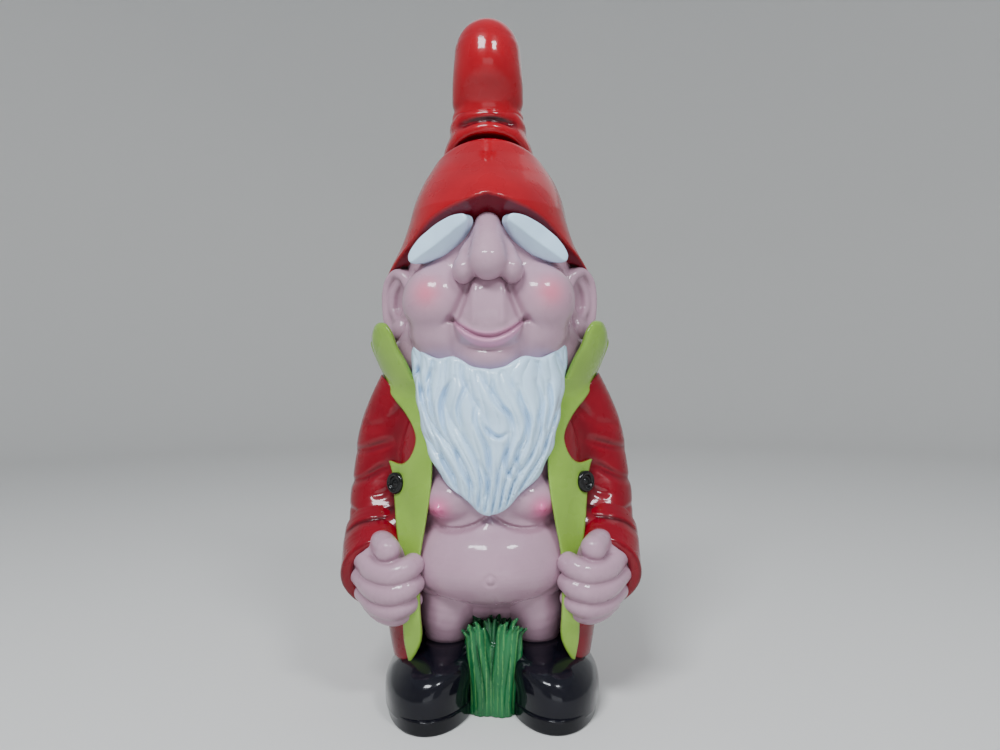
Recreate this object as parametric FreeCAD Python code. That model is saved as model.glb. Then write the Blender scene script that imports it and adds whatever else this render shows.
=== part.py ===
"""Garden gnome, 400 mm tall, as an assembly of hollow resin castings.

Frame: millimetres, +Z up, the gnome faces -Y, its own left hand is on +X.
The origin is the middle of the footprint, on the surface that the soles stand on.
Every casting is its own solid, bonded to the castings that it touches. The legs and
the neck stand in sockets, and a steel rod ties each sole, boot and leg to the torso.
"""
import FreeCAD, Part
import math
import os
from FreeCAD import Matrix, Placement, Rotation, Vector

# ---- driving dimensions -------------------------------------------------------
WALL = 5.0              # wall of the hollow castings
GLUE_GAP = 0.15         # bond line between a casting and the socket that it stands in
FAR = 120.0             # cutting solids reach this far past the figure
SOLE_THICKNESS = 8.0
SOLE_HALF_WIDTH = 25.0
SOLE_HALF_LENGTH = 49.5
FOOT_X = 34.5           # middle of a sole, to each side
FOOT_Y = -15.0
BOOT_TOP_Z = 36.0
LEG_X = 24.5
LEG_RADIUS = 13.5
LEG_SOCKET_Z = 21.0     # a leg starts this high, inside its boot
LEG_TOP_Z = 72.0
ROD_RADIUS = 3.0
ROD_TOP_Z = 112.0
NECK_Z = 182.0
NECK_RADIUS = 18.0
NECK_Y = 3.0
NECK_SPIGOT = 12.0      # how deep the neck stands in the torso
COAT_HEM_Z = 27.0
SIDE_SEAM_Y = 6.0       # plane where the back of the coat meets its two fronts
LINING_THICKNESS = 3.0
HAT_HEM_Z = 205.0
CROWN_TOP_Z = 327.0
FOLD_TOP_Z = 341.0
HAT_TIP_Z = 400.0
BUTTON_RADIUS = 6.3
BUTTON_THICKNESS = 3.6

# ---- horizontal sections: height, half width, half depth, middle in Y ----------
TORSO = [(57, 33, 30, 2), (63, 44, 42, -2), (79, 51, 51, -6), (94, 50, 49, -5),
         (106, 46, 43, -2), (118, 45, 42, -3), (134, 47, 41, -2), (148, 53, 42, 2),
         (166, 50, 38, 4), (176, 40, 31, 5), (NECK_Z, 26, 25, 4)]
HEAD = [(NECK_Z, 23, 25, -3), (189, 28, 32, -7), (198, 38, 38, -7), (211, 46, 45, -3),
        (226, 50, 49, 0), (241, 50.5, 50, 2), (256, 49, 50, 3), (270, 44, 46, 3),
        (284, 33, 36, 5), (293, 20, 22, 6)]
COAT = [(COAT_HEM_Z, 51, 44, 8), (45, 55, 48, 7), (62, 59, 52, 5), (80, 60, 54, 2),
        (104, 58, 52, 2), (130, 57, 48, 2), (150, 56, 45, 3), (168, 52, 40, 4),
        (182, 44, 34, 6), (190, 36, 29, 7)]
CROWN = [(198, 60, 57, 8), (212, 62.5, 58, 7.8), (227, 64, 58, 7), (240, 62.5, 57.5, 6),
         (254, 56, 56, 5), (265, 51, 54, 3.5), (277, 48, 51.5, 1.5), (290, 44.5, 47, 1),
         (302, 39.5, 41, 1), (314, 32.5, 34.5, 2), (CROWN_TOP_Z, 26.5, 28.5, 3)]
CROWN_HOLLOW = [(282, 38, 42, 2), (296, 35, 38, 1), (309, 28, 30, 2), (319, 22, 24, 3)]
FOLD = [(CROWN_TOP_Z, 24.5, 27, 4), (331, 26.5, 29.5, 3), (336, 25.5, 27, 3),
        (FOLD_TOP_Z, 21.5, 22, 5)]
TIP = [(FOLD_TOP_Z, 20, 21, 3), (345, 22.5, 24, 0), (352, 22.5, 24, -1.5), (367, 21.5, 22, -3),
       (380, 19, 19, -4.5), (390, 14.5, 14.5, -5.5), (396.5, 9, 9, -6), (HAT_TIP_Z, 3, 3, -6)]
BEARD_FRONT = [(100, 38, 34, -14), (116, 40, 38, -14), (134, 43, 43, -13), (160, 46, 47, -11),
               (188, 48, 48, -8), (215, 50, 48, -5)]
COLLAR_OUTSIDE = [(168, 53, 41, 4), (177, 57, 42, 4), (188, 62, 44, 5), (203, 68, 49, 5),
                  (222, 73, 53, 4)]
COLLAR_INSIDE = [(166, 46, 34, 4), (177, 51, 36, 4), (188, 56, 38, 5), (203, 62, 43, 5),
                 (224, 68, 48, 4)]
# a boot's sections also move sideways: height, middle in X, half width, half depth, middle in Y
BOOT = [(SOLE_THICKNESS, 34.5, 24, 48, -15), (14, 34.5, 24.5, 48, -15), (20, 33.5, 24, 44.5, -14),
        (26, 31, 22, 36, -9), (31.5, 28, 18.5, 25, -4), (BOOT_TOP_Z, 26, 16.5, 19, -2)]

# ---- outlines seen from the front, as (x, z), on the figure's left side ---------
COAT_OPENING = [(0, 15), (46, 15), (45, 28), (39, 42), (39, 60), (39.5, 85), (36, 107),
                (33.5, 123), (32.5, 138), (34, 155), (38, 170), (43, 190), (43, 230), (0, 230)]
LINING = [(46, 27), (38.5, 42), (38.5, 60), (39, 85), (35.5, 107), (33, 123), (32, 138),
          (33.5, 155), (37.5, 170), (42, 186), (60, 186), (57, 176), (47.5, 164), (42.5, 155),
          (42.5, 148), (46, 140), (52, 136.5), (58.5, 137.5), (57, 132), (55.5, 119), (53, 99),
          (50, 80), (48, 60), (48, 42)]
BEARD = [(0, 113), (14, 123), (26, 137), (35, 156), (40, 176), (41.5, 192),
         (43, 208), (36, 198), (27, 194), (19, 196), (10, 190), (0, 188)]
COLLAR_LOBE = [(37, 165), (43, 186), (48, 198), (54, 206), (56, 214), (60, 219), (66.5, 217),
               (70, 209), (67, 197), (62, 186), (58, 176), (50, 165)]

# ---- outlines seen from the side, as (y, z) --------------------------------------
HAT_FACE_OPENING = [(-90, 282), (-55, 280), (-38, 271), (-22, 260), (-6, 250), (4, 240),
                    (9, 226), (10, HAT_HEM_Z), (10, 150), (-90, 150)]
COLLAR_BACK_EDGE = [(4, 240), (4, 218), (14, 207), (26, 201), (FAR, 200), (FAR, 240)]

# ---- ellipsoids: centre, half sizes ----------------------------------------------
CHEEK = ((29, -32, 229), (20, 20, 22))
JOWL = ((26, -27, 211), (21, 19, 16))
MUZZLE = ((0, -39, 222), (19, 16, 22))
CHIN = ((0, -36, 199), (18, 15, 12))
CHEST = ((20, -24, 119), (22, 22, 15))
NOSE_BULB = ((0, -56.4, 246), (9.3, 9.5, 9.5))
NOSE_BRIDGE = ((0, -50, 260), (7.4, 9, 14))
NOSE_WING = ((11.8, -51, 245), (6.8, 9, 8.5))
EYEBROW = ((25.5, -47, 261.5), (20.5, 6.5, 7.2))
EYEBROW_SLOPE = 34.0    # degrees that the outer end of a brow hangs down
EYEBROW_WRAP = 24.0     # degrees that it turns back round the head
EAR = ((55, -3, 233), (8.5, 13, 22))
EAR_HOLLOW = ((63, -9, 235), (7, 8, 14))
PALM = ((59, -31, 76), (17, 13, 23))

# ---- round paths: x, y, z, radius -------------------------------------------------
SLEEVE_PATH = [(50, 6, 176, 15.5), (62, 8, 160, 18), (69, 10, 136, 18.5), (70, 7, 114, 18),
               (70, -4, 98, 18), (69, -14, 88, 19)]
CUFF_PATH = [(69, -14, 88, 20), (69, -20, 83, 22.5), (67, -29, 76, 21)]

FINGERS = [(89, 6.6), (78.5, 6.4), (68.5, 6.0), (60, 5.4)]      # height, radius
FINGER_ROOT = (68, -38)
FINGER_TIP = (45.5, -43)
THUMB = ((60, -36, 100), (56, -47, 94), 6.8)
BUTTON_PLACE = (50.5, -19.5, 126)
BUTTON_FACES = (0.62, -0.78, 0.05)
# leaves of grass: foot in X, tip in X, tip in Y, tip in Z
BLADES = [(-5, -16, -24, 40), (-3, -10, -29, 52), (-1, -5, -32, 58), (1, 0.5, -34, 61),
          (2, 6, -32, 57), (3.5, 11, -29, 51), (5, 17, -24, 41), (-2, 13, -30, 45),
          (2, -13, -31, 46)]
GRASS_Y = -15.0
GRASS_ROOT_Z = 30.0
BLADE_WIDTHS = [(0.0, 4.0), (0.35, 3.8), (0.7, 3.0), (1.0, 1.0)]   # share of height, half width


# ---- helpers -----------------------------------------------------------------------
def ring(z, rx, ry, cy, cx=0.0, points=16):
    """A closed smooth wire: an ellipse at height z."""
    turn = [2 * math.pi * i / points for i in range(points)]
    line = Part.BSplineCurve()
    line.interpolate([Vector(cx + rx * math.cos(t), cy + ry * math.sin(t), z) for t in turn],
                     PeriodicFlag=True)
    return Part.Wire([line.toShape()])


def loft(sections, grow=0.0):
    """A solid through (z, rx, ry, cy) sections, with every half size grown by grow."""
    rings = [ring(z, rx + grow, ry + grow, cy) for z, rx, ry, cy in sections]
    return Part.makeLoft(rings, True, False)


def ellipsoid(centre, radii, turned=None):
    """An ellipsoid, turned about its own centre before it is placed."""
    stretch = Matrix()
    stretch.scale(Vector(*radii))
    ball = Part.makeSphere(1.0).transformGeometry(stretch)
    ball.Placement = Placement(Vector(*centre), turned or Rotation())
    return ball


def front_slab(outline, low_y, high_y, corners):
    """The solid over an (x, z) outline, between two depths.

    The outline is a smooth curve from each of its corners, given by index, to the next.
    """
    points = [Vector(x, low_y, z) for x, z in outline]
    stops = sorted(set(corners) | {0})
    edges = []
    for here, there in zip(stops, stops[1:] + [len(points)]):
        run = (points + points[:1])[here:there + 1]
        line = Part.BSplineCurve()
        line.interpolate(run)
        edges.append(line.toShape() if len(run) > 2 else Part.makeLine(*run))
    face = Part.Face(Part.Wire(edges))
    return face.extrude(Vector(0, high_y - low_y, 0))


def side_slab(outline):
    """The solid over a straight-sided (y, z) outline, right across the figure."""
    points = [Vector(-FAR, y, z) for y, z in outline]
    return Part.Face(Part.makePolygon(points + points[:1])).extrude(Vector(2 * FAR, 0, 0))


def block(low, high):
    """The box between two corners."""
    low, high = Vector(*low), Vector(*high)
    return Part.makeBox(*(high - low), low)


def tube(path):
    """A solid through round sections (x, y, z, radius), each square to the path."""
    wires = []
    for i, (x, y, z, radius) in enumerate(path):
        before, after = path[max(i - 1, 0)], path[min(i + 1, len(path) - 1)]
        along = Vector(*after[:3]) - Vector(*before[:3])
        circle = ring(0, radius, radius, 0)
        circle.Placement = Placement(Vector(x, y, z), Rotation(Vector(0, 0, -1), along))
        wires.append(circle)
    return Part.makeLoft(wires, True, False)


def capsule(start, end, radius):
    """A round-ended bar."""
    start, end = Vector(*start), Vector(*end)
    bar = Part.makeCylinder(radius, (end - start).Length, start, end - start)
    return bar.fuse([Part.makeSphere(radius, start), Part.makeSphere(radius, end)])


def mirrored(shape):
    """The same piece on the figure's right side."""
    return shape.mirror(Vector(0, 0, 0), Vector(1, 0, 0))


def cut_each(shape, tools):
    """The shape less each tool. One tool at a time is sturdier than all at once."""
    for tool in tools:
        shape = shape.cut(tool)
    return shape


def fuse_each(shape, others):
    """The shape joined with each of the others, one at a time."""
    for other in others:
        shape = shape.fuse(other)
    return shape


def cut_both_sides(shape, tool):
    """The shape less a tool and less its mirror image."""
    return cut_each(shape, [tool, mirrored(tool)])


def largest(shape):
    """The biggest solid of a shape, without the crumbs that a cut left beside it."""
    return max(shape.Solids, key=lambda solid: solid.Volume)


# ---- feet and legs --------------------------------------------------------------------
def leg_bore(radius, low_z):
    """A long upright cylinder on the line of a leg."""
    return Part.makeCylinder(radius, 2 * FAR, Vector(LEG_X, 0, low_z))


def sole():
    plate = Part.Face(ring(0, SOLE_HALF_WIDTH, SOLE_HALF_LENGTH, FOOT_Y, FOOT_X))
    return plate.extrude(Vector(0, 0, SOLE_THICKNESS)).cut(leg_bore(ROD_RADIUS, SOLE_THICKNESS / 2))


def boot_solid(grow=0.0):
    rings = [ring(z, rx + grow, ry + grow, cy, cx) for z, cx, rx, ry, cy in BOOT]
    return Part.makeLoft(rings, True, False)


def boot():
    """Hollow and open below, where the sole closes it, with a socket for the leg."""
    cavity_top = LEG_SOCKET_Z - WALL
    inside = boot_solid(-WALL).common(block((-FAR, -FAR, 0), (FAR, FAR, cavity_top)))
    return cut_each(boot_solid(), [inside, leg_bore(LEG_RADIUS + GLUE_GAP, LEG_SOCKET_Z),
                                   leg_bore(ROD_RADIUS, 0)])


def leg():
    post = Part.makeCylinder(LEG_RADIUS, LEG_TOP_Z - LEG_SOCKET_Z, Vector(LEG_X, 0, LEG_SOCKET_Z))
    return post.cut(leg_bore(ROD_RADIUS, 0))


def leg_rod():
    low_z = SOLE_THICKNESS / 2
    return Part.makeCylinder(ROD_RADIUS, ROD_TOP_Z - low_z, Vector(LEG_X, 0, low_z))


# ---- body and head ----------------------------------------------------------------------
def torso_outside():
    """Belly, chest and shoulders, with two soft mounds on the chest."""
    mound = ellipsoid(*CHEST)
    return loft(TORSO).fuse([mound, mirrored(mound)])


def neck_spigot(radius):
    return Part.makeCylinder(radius, NECK_SPIGOT + 1, Vector(0, NECK_Y, NECK_Z - NECK_SPIGOT))


def torso(outside):
    """Hollow above a thick floor, with a socket for each leg and one for the neck."""
    hollow = loft([section for section in TORSO if 79 <= section[0] <= 166], -WALL)
    leg_socket = Part.makeCylinder(LEG_RADIUS + GLUE_GAP, FAR, Vector(LEG_X, 0, LEG_TOP_Z - FAR))
    leg_socket = leg_socket.fuse(leg_rod())
    return cut_both_sides(cut_each(outside, [hollow, neck_spigot(NECK_RADIUS + GLUE_GAP)]),
                          leg_socket)


def head_outside():
    """The skull with full cheeks and jowls, a round muzzle and a round chin."""
    cheek, jowl = ellipsoid(*CHEEK), ellipsoid(*JOWL)
    return fuse_each(loft(HEAD), [cheek, mirrored(cheek), jowl, mirrored(jowl),
                                  ellipsoid(*MUZZLE), ellipsoid(*CHIN)])


def head(outside):
    """Hollow, with a spigot below the neck that stands in the torso."""
    hollow = loft([section for section in HEAD if section[0] >= 198], -WALL)
    return outside.fuse(neck_spigot(NECK_RADIUS)).cut(hollow)


def nose(head_outer):
    """Bulb, bridge and wings, each turned so that the seam of its surface lies inside the head."""
    quarter_turn = Rotation(Vector(0, 0, 1), 90)
    bulb, bridge, wing = [ellipsoid(centre, (ry, rx, rz), quarter_turn)
                          for centre, (rx, ry, rz) in (NOSE_BULB, NOSE_BRIDGE, NOSE_WING)]
    return fuse_each(bulb, [bridge, wing, mirrored(wing)]).cut(head_outer)


def eyebrow():
    slope = Rotation(Vector(0, 1, 0), EYEBROW_SLOPE)
    wrap = Rotation(Vector(0, 0, 1), EYEBROW_WRAP)
    return ellipsoid(*EYEBROW, wrap.multiply(slope))


def ear(head_outer):
    return cut_each(ellipsoid(*EAR), [ellipsoid(*EAR_HOLLOW), head_outer])


def beard(head_outer, torso_outer):
    """A pointed slab with a rounded front, lying on the chin and the chest."""
    outline = BEARD + [(-x, z) for x, z in reversed(BEARD[1:-1])]
    top_left = BEARD.index((43, 208))
    corners = [0, top_left, len(BEARD) - 1, len(outline) - top_left]
    whole = front_slab(outline, -FAR, -14, corners).common(loft(BEARD_FRONT))
    return cut_each(whole, [head_outer, torso_outer])


# ---- hat ------------------------------------------------------------------------------------
def hat_crown(head_outer):
    """The hood of the hat: seated on the head, open at the face, hollow above the head."""
    below = block((-FAR, -FAR, HAT_HEM_Z - FAR), (FAR, FAR, HAT_HEM_Z))
    return cut_each(loft(CROWN), [side_slab(HAT_FACE_OPENING), below, head_outer,
                                  loft(CROWN_HOLLOW)])


# ---- coat -------------------------------------------------------------------------------------
def coat_shell(coat_outer, torso_outer):
    """The whole skirt and body of the coat, open in front, seated on the shoulders."""
    opening = front_slab(COAT_OPENING, -FAR, 0, corners=(1, 12, 13))
    shell = cut_both_sides(coat_outer.cut(loft(COAT, -WALL)), opening)
    return shell.cut(torso_outer)


def lining(coat_outer):
    """The turned-back facing: a notched plate over the coat's front edge."""
    plate = loft(COAT, LINING_THICKNESS).cut(coat_outer)
    return plate.common(front_slab(LINING, -FAR, -4, corners=(9, 10, 17)))


def collar(coat_outer):
    """A standing collar, flared outwards, with a round lobe on each side of the throat."""
    band = cut_each(loft(COLLAR_OUTSIDE), [loft(COLLAR_INSIDE), coat_outer,
                                           side_slab(COLLAR_BACK_EDGE)])
    around_lobe = block((0, -FAR, 150), (FAR, COLLAR_BACK_EDGE[0][0], 250))
    around_lobe = around_lobe.cut(front_slab(COLLAR_LOBE, -FAR, FAR, corners=(0, 11)))
    return cut_both_sides(band, around_lobe)


def hand():
    """A fist round the coat's edge: palm, four fingers laid over it, thumb on top."""
    fingers = [capsule((*FINGER_ROOT, z), (*FINGER_TIP, z), radius) for z, radius in FINGERS]
    return ellipsoid(*PALM).fuse(fingers + [capsule(*THUMB)])


def button():
    """A disc near the point of the lapel."""
    return Part.makeCylinder(BUTTON_RADIUS, LINING_THICKNESS + BUTTON_THICKNESS,
                             Vector(*BUTTON_PLACE), Vector(*BUTTON_FACES))


# ---- grass --------------------------------------------------------------------------------------
def blade(foot_x, tip_x, tip_y, tip_z):
    """One leaf, which stands upright at its foot and leans over towards its tip."""
    rings = []
    for share, half_width in BLADE_WIDTHS:
        lean = share ** 2
        rings.append(ring(share * tip_z, half_width, 1.4 * half_width,
                          GRASS_Y + lean * (tip_y - GRASS_Y), foot_x + lean * (tip_x - foot_x)))
    return Part.makeLoft(rings, True, False)


def grass_tuft():
    """A fan of leaves on one root, between the boots and up to the belly."""
    root = Part.Face(ring(0, 9.5, 14, GRASS_Y)).extrude(Vector(0, 0, GRASS_ROOT_Z))
    return fuse_each(root, [blade(*shape) for shape in BLADES])


# ---- assembly -------------------------------------------------------------------------------------
def build():
    """Every node's solid. A casting is cut where an earlier one already stands."""
    torso_outer, head_outer, coat_outer = torso_outside(), head_outside(), loft(COAT)
    boots = [boot_solid(GLUE_GAP), mirrored(boot_solid(GLUE_GAP))]
    parts = {"torso_shell": torso(torso_outer), "nose": nose(head_outer),
             "beard": beard(head_outer, torso_outer), "hat_crown": hat_crown(head_outer),
             "hat_fold": loft(FOLD), "hat_tip": loft(TIP)}
    parts["head_shell"] = head(head_outer).cut(parts["torso_shell"])
    crown = parts["hat_crown"]
    ears = ear(head_outer).cut(crown)
    brow = cut_each(eyebrow(), [head_outer, parts["nose"], crown])

    coat = cut_each(coat_shell(coat_outer, torso_outer), boots)
    parts["coat_back"] = coat.cut(block((-FAR, -FAR, -FAR), (FAR, SIDE_SEAM_Y, 2 * FAR)))
    coat_front = coat.common(block((0, -FAR, -FAR), (FAR, SIDE_SEAM_Y, 2 * FAR)))
    facing = cut_each(lining(coat_outer), [boots[0], parts["beard"]])
    parts["collar"] = cut_each(collar(coat_outer), [head_outer, crown, ears, mirrored(ears),
                                                    parts["beard"], facing, mirrored(facing)])
    fixed = [coat_outer, facing, parts["collar"]]
    sleeve = largest(cut_each(tube(SLEEVE_PATH), fixed))
    fist = cut_each(hand(), [coat_outer, facing, sleeve])
    cuff = cut_each(tube(CUFF_PATH), [coat_outer, facing, fist, sleeve])
    disc = cut_each(button(), [coat_outer, facing])

    pairs = {"leg": leg(), "leg_rod": leg_rod(), "sole": sole(), "boot": boot(),
             "eyebrow": brow, "ear": ears, "coat_front": coat_front, "lining": facing,
             "sleeve": sleeve, "cuff": cuff, "hand": fist, "button": disc}
    for name, shape in pairs.items():
        parts[name + "_left"] = shape
        parts[name + "_right"] = mirrored(shape)
    neighbours = [parts[name + side] for name in ("leg", "sole") for side in ("_left", "_right")]
    parts["grass_tuft"] = cut_each(grass_tuft(), boots + neighbours + [torso_outer])
    return parts


def main():
    """Write one STEP file per node, and print what each one holds."""
    os.makedirs("parts", exist_ok=True)
    for node, shape in build().items():
        solids = shape.Solids
        box = shape.optimalBoundingBox(False)
        print(node, "solids", len(solids), "valid", shape.isValid(),
              "cm3", round(shape.Volume / 1000, 2), "box",
              [round(value, 1) for value in (box.XMin, box.XMax, box.YMin, box.YMax, box.ZMin, box.ZMax)])
        (solids[0] if len(solids) == 1 else Part.makeCompound(solids)).exportStep(f"parts/{node}.step")


if __name__ == "__main__":
    main()
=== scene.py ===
"""The looks of the garden gnome: every casting is sculpted as a distance field round the
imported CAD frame, meshed, and painted in glossy enamel under a clear coat.

Sculpting is done in millimetres in the frame's own axes: the gnome faces -Y, its left is +X.
A field is a function of points, an array of three rows x, y, z, and is negative inside.
"""
import math
from concurrent.futures import ThreadPoolExecutor
from functools import partial
import bpy
import numpy as np
import openvdb
from mathutils import Euler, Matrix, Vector


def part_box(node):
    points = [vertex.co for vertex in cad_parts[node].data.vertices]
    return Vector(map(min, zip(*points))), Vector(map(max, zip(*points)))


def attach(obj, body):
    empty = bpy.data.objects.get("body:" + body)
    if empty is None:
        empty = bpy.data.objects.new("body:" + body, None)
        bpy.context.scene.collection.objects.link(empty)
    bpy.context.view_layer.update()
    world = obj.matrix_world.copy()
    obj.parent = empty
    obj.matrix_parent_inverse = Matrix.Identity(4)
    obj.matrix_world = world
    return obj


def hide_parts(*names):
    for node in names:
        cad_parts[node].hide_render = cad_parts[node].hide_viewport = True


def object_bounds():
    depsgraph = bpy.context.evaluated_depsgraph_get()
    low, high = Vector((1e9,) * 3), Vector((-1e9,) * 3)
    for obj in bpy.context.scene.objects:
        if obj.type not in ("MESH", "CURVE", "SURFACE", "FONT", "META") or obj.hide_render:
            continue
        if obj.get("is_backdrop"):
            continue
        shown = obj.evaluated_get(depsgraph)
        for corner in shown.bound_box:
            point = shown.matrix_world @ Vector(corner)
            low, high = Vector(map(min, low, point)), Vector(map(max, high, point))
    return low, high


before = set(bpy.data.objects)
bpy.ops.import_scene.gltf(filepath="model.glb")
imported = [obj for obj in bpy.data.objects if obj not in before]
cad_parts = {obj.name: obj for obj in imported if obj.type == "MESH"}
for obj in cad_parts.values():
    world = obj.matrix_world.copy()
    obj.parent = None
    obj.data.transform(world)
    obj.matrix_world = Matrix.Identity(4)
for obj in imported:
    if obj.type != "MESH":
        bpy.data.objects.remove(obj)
cad_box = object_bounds()

MM = 0.001                                  # metres in a millimetre
COARSE = 1.0         # a factor on every casting's grid step
BLOCK = 6                                   # cells of the fine grid along a block
FIELD_SLACK = 1.35                          # a field may overstate a distance by this factor
BAND = 4.0                                  # cells from the surface where values stop
SLOPE_REACH = 0.35                          # cells each way that a slope is read over
THREADS = 4
CREASE_SHADE_REACHES = ((1.6, 1.0), (5.0, 0.9), (10.0, 0.8))    # each hollowness test's reach in mm and its weight, for the painted shade in creases
EDGE_REACH = 1.2                            # mm, how deep the edge test looks, for the painted edge highlight
PANEL_COLOUR = (0.92, 0.96, 1.0)
CAMERA_GAP = 0.389                          # metres from the figure's front to the camera
CAMERA_LENS, SENSOR_WIDTH = 27.0, 36        # mm


# ==== camera, floor and lights ====
def make_camera():
    """A camera a little under the figure's middle, straight in front of it."""
    low, high = cad_box
    data = bpy.data.cameras.new("camera")
    data.sensor_width = SENSOR_WIDTH
    data.lens = CAMERA_LENS
    camera = bpy.data.objects.new("camera", data)
    camera.location = (0.006, low.y - CAMERA_GAP, 0.47 * high.z)
    camera.rotation_euler = Euler((math.radians(90), math.radians(0.5), 0))
    bpy.context.scene.collection.objects.link(camera)
    bpy.context.scene.camera = camera


def make_light(name, place, target, size, power, colour=(1, 1, 1)):
    data = bpy.data.lights.new(name, "AREA")
    data.shape = "RECTANGLE"
    data.size, data.size_y = size
    data.energy = power
    data.color = colour
    light = bpy.data.objects.new(name, data)
    light.location = place
    light.rotation_euler = (Vector(target) - Vector(place)).to_track_quat("-Z", "Y").to_euler()
    bpy.context.scene.collection.objects.link(light)


def new_material(name):
    """A material, with its nodes, its links and its shader."""
    material = bpy.data.materials.new(name)
    material.use_nodes = True
    tree = material.node_tree
    return material, tree.nodes, tree.links, tree.nodes["Principled BSDF"]


def make_backdrop():
    """A pale floor that sweeps up into a wall all round."""
    radius, curve, rise, steps, sides = 2.2, 0.6, 1.7, 10, 96
    profile = [(0.0, 0.0), (radius - curve, 0.0)]
    for i in range(1, steps + 1):
        turn = math.pi / 2 * i / steps
        profile.append((radius - curve + curve * math.sin(turn), curve - curve * math.cos(turn)))
    profile.append((radius, rise))
    verts, faces = [], []
    for i, (reach, height) in enumerate(profile):
        for j in range(sides):
            turn = 2 * math.pi * j / sides
            verts.append((reach * math.cos(turn), reach * math.sin(turn), height))
            if i:
                after = (j + 1) % sides
                inner, outer = (i - 1) * sides, i * sides
                faces.append((inner + j, inner + after, outer + after, outer + j))
    mesh = bpy.data.meshes.new("backdrop")
    mesh.from_pydata(verts, [], faces)
    mesh.shade_smooth()
    backdrop = bpy.data.objects.new("backdrop", mesh)
    bpy.context.scene.collection.objects.link(backdrop)
    material, _, _, shader = new_material("backdrop_paper")
    shader.inputs["Base Color"].default_value = (0.72, 0.71, 0.69, 1)
    shader.inputs["Roughness"].default_value = 0.7
    mesh.materials.append(material)
    backdrop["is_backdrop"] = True

def make_studio():
    """Soft panels of light, a dim sky and the backdrop."""
    middle = (0, 0, 0.2)
    make_light("key_panel", (-0.34, -0.85, 1.15), middle, (0.5, 0.26), 17, PANEL_COLOUR)
    make_light("second_panel", (0.5, -0.8, 1.05), middle, (0.26, 0.16), 6.5, PANEL_COLOUR)
    make_light("low_panel", (0.1, -1.7, 0.26), (0, 0, 0.12), (1.2, 0.5), 3.0, PANEL_COLOUR)
    make_light("back_panel", (0.4, 1.3, 1.5), middle, (1.6, 1.2), 2.5)
    world = bpy.data.worlds.new("studio")
    world.use_nodes = True
    background = world.node_tree.nodes["Background"]
    background.inputs["Color"].default_value = (0.80, 0.87, 0.95, 1)
    background.inputs["Strength"].default_value = 0.42
    bpy.context.scene.world = world
    make_backdrop()


# ==== curves and helpers for fields ====
def spline(points, per_span=5, closed=False):
    """A smooth line through points of any dimension, as an array with one row per place."""
    points = np.array(points, np.float64)
    if closed:
        padded = np.vstack([points[-1], points, points[:2]])
    else:
        padded = np.vstack([2 * points[0] - points[1], points, 2 * points[-1] - points[-2]])
    rows = []
    for a, b, c, d in zip(padded, padded[1:], padded[2:], padded[3:]):
        for t in np.arange(per_span) / per_span:
            rows.append(0.5 * (2 * b + (c - a) * t + (2 * a - 5 * b + 4 * c - d) * t * t
                               + (3 * b - a - 3 * c + d) * t ** 3))
    if not closed:
        rows.append(points[-1])
    return np.array(rows)


def fade(value, low, high):
    """0 before low, 1 after high, smooth between them. Low may be the larger."""
    t = np.clip((value - low) / (high - low), 0, 1)
    return t * t * (3 - 2 * t)


def hill(value, middle, width):
    return np.exp(-((value - middle) / width) ** 2)


def smooth_min(a, b, k):
    h = np.maximum(k - np.abs(a - b), 0) / k
    return np.minimum(a, b) - h * h * k * 0.25


def smooth_max(a, b, k):
    return -smooth_min(-a, -b, k)


def join(k, *fields):
    """The union of fields, with fillets about k wide."""
    whole = fields[0]
    for field in fields[1:]:
        whole = smooth_min(whole, field, k)
    return whole


def from_middle(p, node, shift=(0, 0, 0)):
    """The points as seen from the middle of a node's box, moved by shift."""
    low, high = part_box(node)
    middle = (np.array(low) + np.array(high)) / 2 / MM + shift
    return p - middle[:, None].astype(np.float32)


def mirror_x(p):
    """The points folded onto the figure's left side."""
    return np.stack([np.abs(p[0]), p[1], p[2]])


def ripple(p, size, seed):
    """A smooth random wave between about -1 and 1, with bumps about size across."""
    random = np.random.RandomState(seed)
    total = np.zeros_like(p[0])
    for _ in range(7):
        direction = random.normal(size=3)
        direction *= random.uniform(0.7, 1.3) * math.pi / size / np.linalg.norm(direction)
        shift = random.uniform(0, 2 * math.pi)
        total += np.sin(direction[0] * p[0] + direction[1] * p[1] + direction[2] * p[2] + shift)
    return total / 4


# ==== solid fields ====
def ellipsoid(p, centre, radii, turn=(0, 0, 0)):
    """An ellipsoid, turned by X, Y and Z angles in degrees."""
    q = p - np.array(centre, np.float32)[:, None]
    if any(turn):
        matrix = np.array(Euler([math.radians(a) for a in turn]).to_matrix(), np.float32)
        q = matrix.T @ q
    r = np.array(radii, np.float32)[:, None]
    near = np.sqrt(((q / r) ** 2).sum(0))
    steep = np.sqrt(((q / r ** 2) ** 2).sum(0))
    return near * (near - 1) / np.maximum(steep, 1e-6)


def tube(p, rows, per_span=4):
    """A round tube through rows of (x, y, z, radius)."""
    line = spline(rows, per_span).astype(np.float32)
    best = np.full_like(p[0], 1e6)
    for a, b in zip(line, line[1:]):
        run = b[:3] - a[:3]
        q = p - a[:3, None]
        t = np.clip(run @ q / (run @ run), 0, 1)
        gap = np.sqrt(((q - run[:, None] * t) ** 2).sum(0)) - (a[3] + t * (b[3] - a[3]))
        best = np.minimum(best, gap)
    return best


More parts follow.
